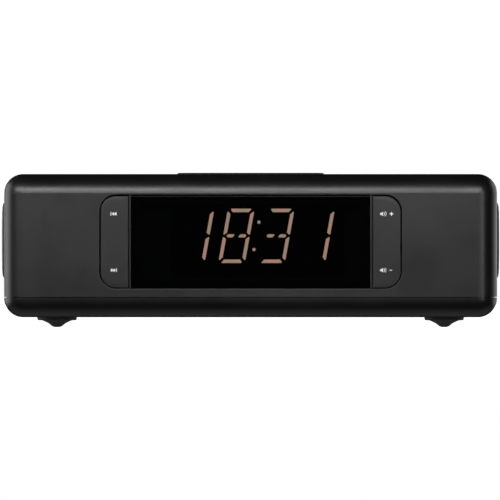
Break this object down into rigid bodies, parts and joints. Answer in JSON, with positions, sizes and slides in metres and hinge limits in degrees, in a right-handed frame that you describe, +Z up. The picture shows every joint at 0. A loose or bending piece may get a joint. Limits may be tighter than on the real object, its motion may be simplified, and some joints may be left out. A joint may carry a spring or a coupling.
{
  "type": "clock radio",
  "caption": "Low rounded box clock radio with a smoked LED display between two rocker keys, a snooze bar on top, bulging side speaker grilles and bell shaped rubber feet.",
  "frame": {"origin": "on the table, at the centre of the footprint, level with the tips of the feet", "axes": "+X to the right as seen from the front, along the length; +Y to the back, so the display faces -Y; +Z up"},
  "size_m": [0.2072, 0.112, 0.0641],
  "materials": {
    "case_black": "fine satin texture",
    "key_black": "satin",
    "window_smoke": "polished smoked acrylic",
    "frame_black": "semi gloss",
    "housing_grey": "matt",
    "segment_red": "diffusing epoxy, lit",
    "segment_dark": "diffusing epoxy, unlit",
    "board_green": "solder mask",
    "switch_black": "moulded",
    "pin_steel": "ground",
    "screw_steel": "zinc plated",
    "spring_steel": "drawn wire",
    "chip_black": "moulded epoxy",
    "shield_tin": "tinned",
    "can_sleeve": "shrink sleeve",
    "socket_white": "moulded nylon",
    "ribbon_grey": "flexible ribbon",
    "jack_black": "moulded",
    "contact_brass": "plated",
    "port_steel": "nickel plated",
    "rubber_black": "soft moulded",
    "grille_black": "satin black paint",
    "gasket_foam": "closed foam",
    "frame_steel": "black paint",
    "magnet_ferrite": "sintered ferrite",
    "cone_paper": "pressed paper",
    "wire_red": "insulated wire",
    "cell_jacket": "plain jacket",
    "print_white": "screen printed symbols"
  },
  "bodies": {
    "case": {"upper_case": "case_black", "lower_case": "case_black", "rear_panel": "case_black", "display_window": "window_smoke", "display_frame": "frame_black", "segment_housing": "housing_grey", "lit_segments": "segment_red", "unlit_segments": "segment_dark", "display_board": "board_green", "front_switches": "switch_black", "volume_key_pin": "pin_steel", "track_key_pin": "pin_steel", "snooze_springs": "spring_steel", "top_board": "board_green", "top_switches": "switch_black", "main_board": "board_green", "main_chip": "chip_black", "amplifier_chip": "chip_black", "tuner_shield": "shield_tin", "capacitors": "can_sleeve", "board_sockets": "socket_white", "display_ribbon": "ribbon_grey", "top_ribbon": "ribbon_grey", "dc_jack": "jack_black", "dc_pin": "contact_brass", "aux_jack": "jack_black", "usb_port": "port_steel", "aerial_grommet": "rubber_black", "speaker_terminals": "contact_brass", "speaker_wires": "wire_red", "backup_cells": "cell_jacket", "battery_contacts": "contact_brass", "case_screws": "screw_steel", "board_screws": "screw_steel", "frame_screws": "screw_steel", "speaker_screws": "screw_steel", "front_left_foot": "rubber_black", "front_right_foot": "rubber_black", "rear_left_foot": "rubber_black", "rear_right_foot": "rubber_black", "left_grille": "grille_black", "left_speaker_gasket": "gasket_foam", "left_speaker_frame": "frame_steel", "left_speaker_magnet": "magnet_ferrite", "left_speaker_surround": "rubber_black", "right_grille": "grille_black", "right_speaker_gasket": "gasket_foam", "right_speaker_frame": "frame_steel", "right_speaker_magnet": "magnet_ferrite", "right_speaker_surround": "rubber_black"},
    "track_rocker": {"track_key": "key_black"},
    "volume_rocker": {"volume_key": "key_black"},
    "snooze": {"snooze_bar": "key_black"},
    "mode_button": {"mode_key": "key_black"},
    "alarm_one_button": {"alarm_one_key": "key_black"},
    "alarm_two_button": {"alarm_two_key": "key_black"},
    "set_button": {"set_key": "key_black"},
    "battery_cover": {"battery_door": "case_black"},
    "left_cone": {"left_speaker_cone": "cone_paper"},
    "right_cone": {"right_speaker_cone": "cone_paper"}
  },
  "joints": [
    {"name": "track_key_rock", "type": "hinge", "parent": "case", "child": "track_rocker", "pos_m": [-0.0564, -0.0516, 0.03545], "axis": [1, 0, 0], "range_deg": [-1.5, 1.5], "stiffness_Nm_per_rad": 0.01},
    {"name": "volume_key_rock", "type": "hinge", "parent": "case", "child": "volume_rocker", "pos_m": [0.0564, -0.0516, 0.03545], "axis": [1, 0, 0], "range_deg": [-1.5, 1.5], "stiffness_Nm_per_rad": 0.01},
    {"name": "snooze_press", "type": "slide", "parent": "case", "child": "snooze", "axis": [0, 0, -1], "range_m": [0, 0.0007], "stiffness_N_per_m": 600, "deforming": ["snooze_springs"]},
    {"name": "mode_key_press", "type": "slide", "parent": "case", "child": "mode_button", "axis": [0, 0, -1], "range_m": [0, 0.0006], "stiffness_N_per_m": 60},
    {"name": "alarm_one_key_press", "type": "slide", "parent": "case", "child": "alarm_one_button", "axis": [0, 0, -1], "range_m": [0, 0.0006], "stiffness_N_per_m": 60},
    {"name": "alarm_two_key_press", "type": "slide", "parent": "case", "child": "alarm_two_button", "axis": [0, 0, -1], "range_m": [0, 0.0006], "stiffness_N_per_m": 60},
    {"name": "set_key_press", "type": "slide", "parent": "case", "child": "set_button", "axis": [0, 0, -1], "range_m": [0, 0.0006], "stiffness_N_per_m": 60},
    {"name": "battery_door_slide", "type": "slide", "parent": "case", "child": "battery_cover", "axis": [0, 1, 0], "range_m": [0, 0.0055]},
    {"name": "left_cone_stroke", "type": "slide", "parent": "case", "child": "left_cone", "axis": [-1, 0, 0], "range_m": [-0.0004, 0.0004], "stiffness_N_per_m": 100},
    {"name": "right_cone_stroke", "type": "slide", "parent": "case", "child": "right_cone", "axis": [1, 0, 0], "range_m": [-0.0004, 0.0004], "stiffness_N_per_m": 100}
  ]
}
